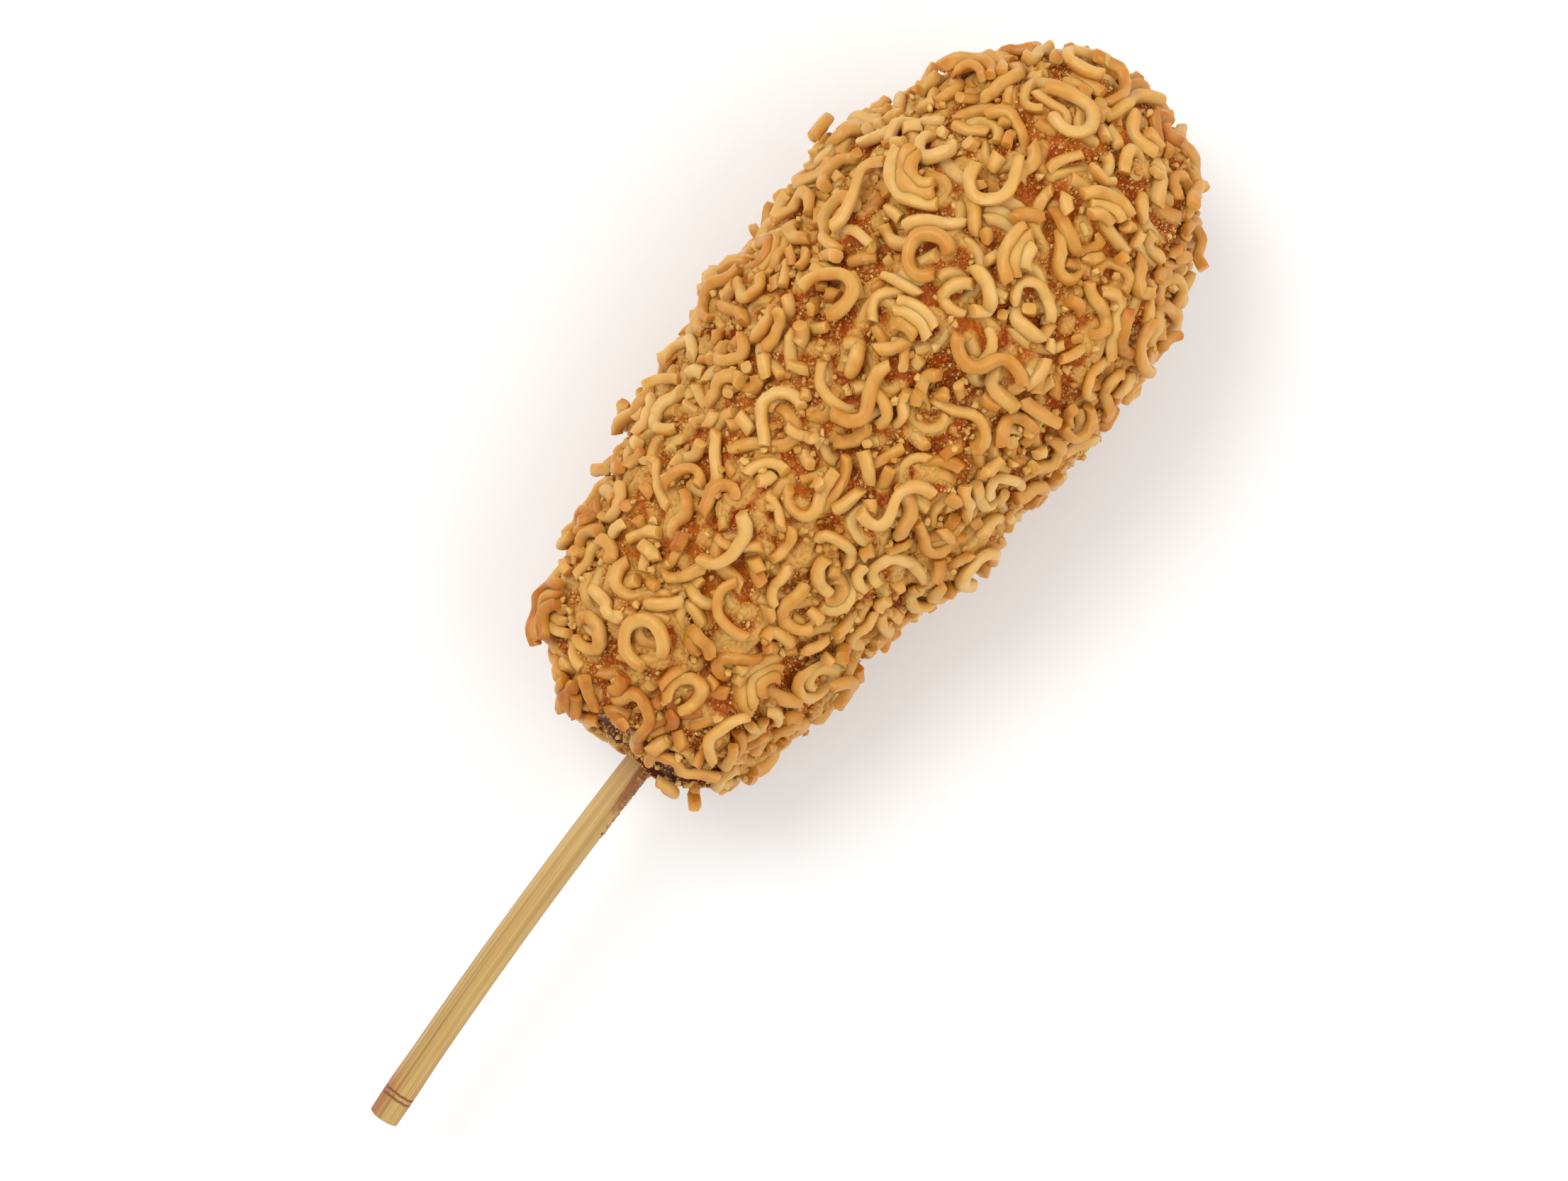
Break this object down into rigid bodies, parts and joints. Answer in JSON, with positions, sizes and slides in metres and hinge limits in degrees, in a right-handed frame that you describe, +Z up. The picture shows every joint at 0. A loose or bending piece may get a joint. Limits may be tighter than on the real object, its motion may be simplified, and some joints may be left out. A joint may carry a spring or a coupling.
{
  "type": "corn dog",
  "caption": "Corn dog with a lumpy crust of broken fried noodles on a bamboo skewer, lying on its side.",
  "frame": {"origin": "middle of the bounding box's footprint, in the plane of the table that the body lies on", "axes": "+X along the body from the skewer's free end to the rounded tip, +Y to the left of that, +Z up"},
  "size_m": [0.2044, 0.0668, 0.0672],
  "materials": {
    "fried_crust": "waxy fried batter, golden to red-brown",
    "fried_noodle": "fried wheat noodle, satin, pale gold to orange-brown",
    "bamboo": "plain split bamboo, lengthwise fibres"
  },
  "bodies": {
    "root": {"noodle_crust": "fried_crust", "skewer": "bamboo", "noodle_arch_14": "fried_noodle", "noodle_arch_16": "fried_noodle", "noodle_arch_17": "fried_noodle", "noodle_arch_22": "fried_noodle", "noodle_arch_23": "fried_noodle", "noodle_arch_26": "fried_noodle", "noodle_crook_07": "fried_noodle", "noodle_crook_10": "fried_noodle", "noodle_crook_25": "fried_noodle", "noodle_hook_01": "fried_noodle", "noodle_hook_08": "fried_noodle", "noodle_hook_11": "fried_noodle", "noodle_loop_03": "fried_noodle", "noodle_loop_15": "fried_noodle", "noodle_loop_20": "fried_noodle", "noodle_loop_24": "fried_noodle", "noodle_nest_02": "fried_noodle", "noodle_nest_04": "fried_noodle", "noodle_nest_18": "fried_noodle", "noodle_wave_12": "fried_noodle", "noodle_wave_13": "fried_noodle", "noodle_wedge_05": "fried_noodle", "noodle_wedge_06": "fried_noodle", "noodle_wedge_09": "fried_noodle", "noodle_wedge_19": "fried_noodle", "noodle_wedge_21": "fried_noodle"}
  },
  "joints": []
}
